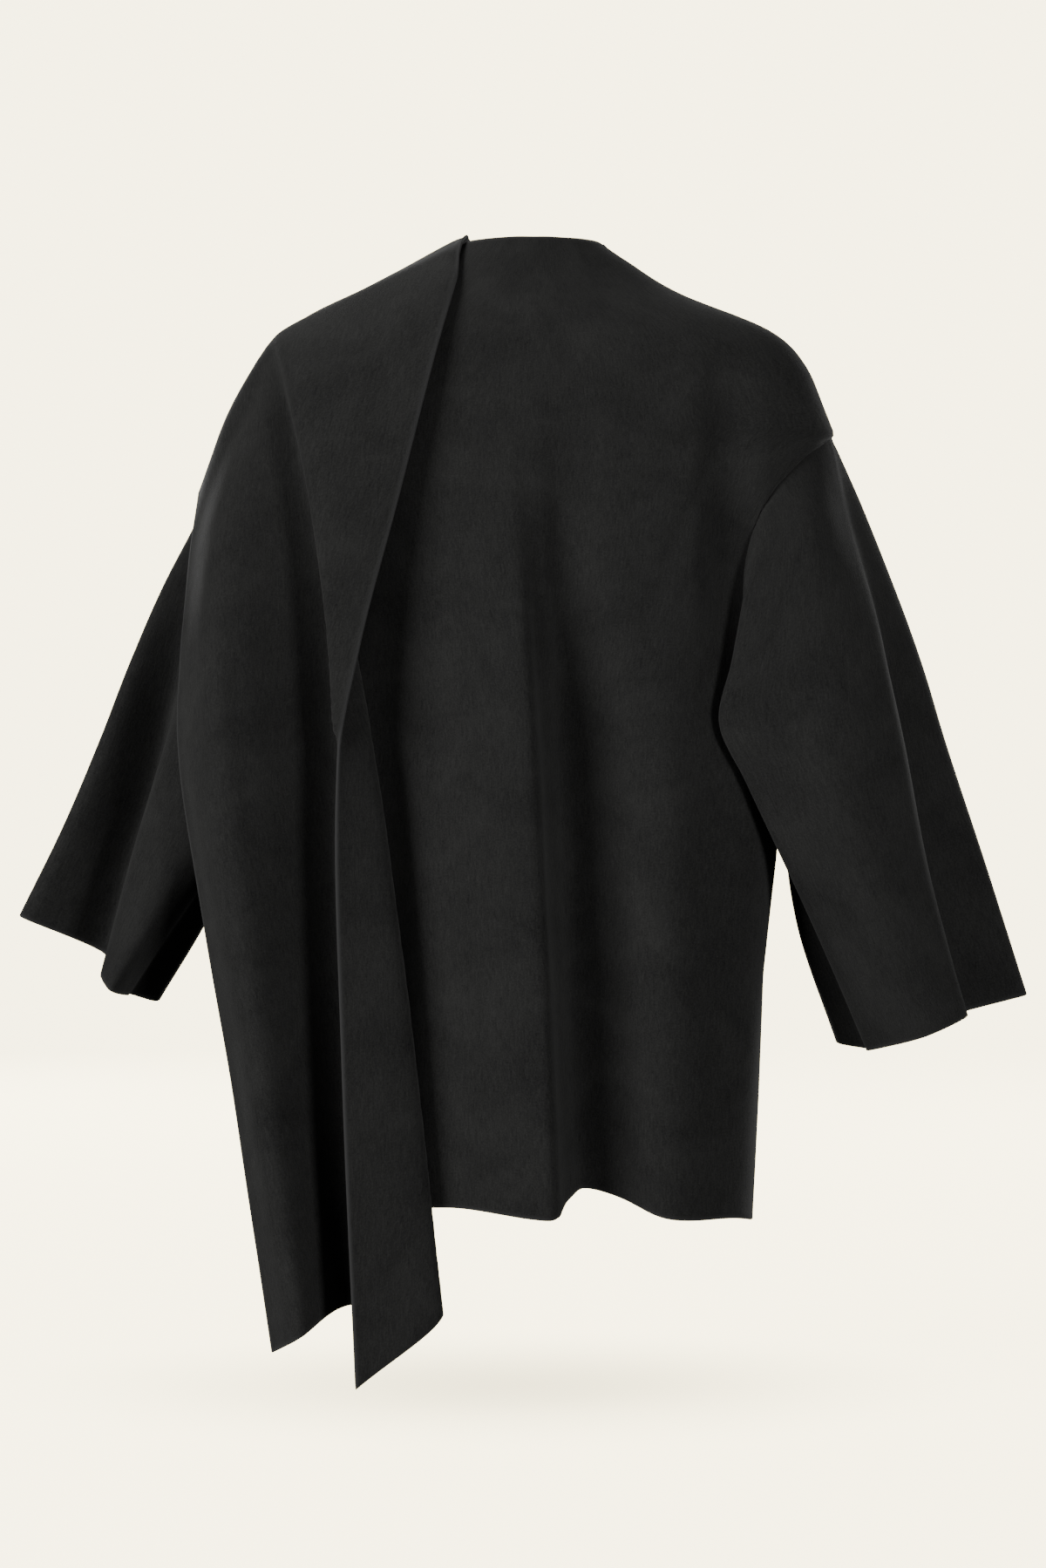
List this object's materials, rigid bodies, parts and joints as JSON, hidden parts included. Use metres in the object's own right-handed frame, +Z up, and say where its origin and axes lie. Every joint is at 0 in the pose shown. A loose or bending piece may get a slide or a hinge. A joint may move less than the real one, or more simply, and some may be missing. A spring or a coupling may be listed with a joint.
{
  "type": "cape jacket",
  "caption": "Short wool cape jacket with a funnel collar, dropped full-length sleeves and a sewn-on scarf draped across the throat and hanging over one shoulder.",
  "frame": {"origin": "neck base, midway between the shoulders, where the garment is held up", "axes": "+Z up out of the collar, +Y towards the wearer's front, +X towards the wearer's right"},
  "size_m": [0.8271, 0.2995, 0.934],
  "materials": {
    "body_wool": "matte felted wool, black",
    "sleeve_wool": "matte felted wool, black",
    "scarf_wool": "matte felted wool, black"
  },
  "bodies": {
    "root": {"back": "body_wool", "left_front": "body_wool", "right_front": "body_wool", "left_sleeve": "sleeve_wool", "right_sleeve": "sleeve_wool", "scarf_throat": "scarf_wool", "scarf_fall": "scarf_wool"}
  },
  "joints": []
}
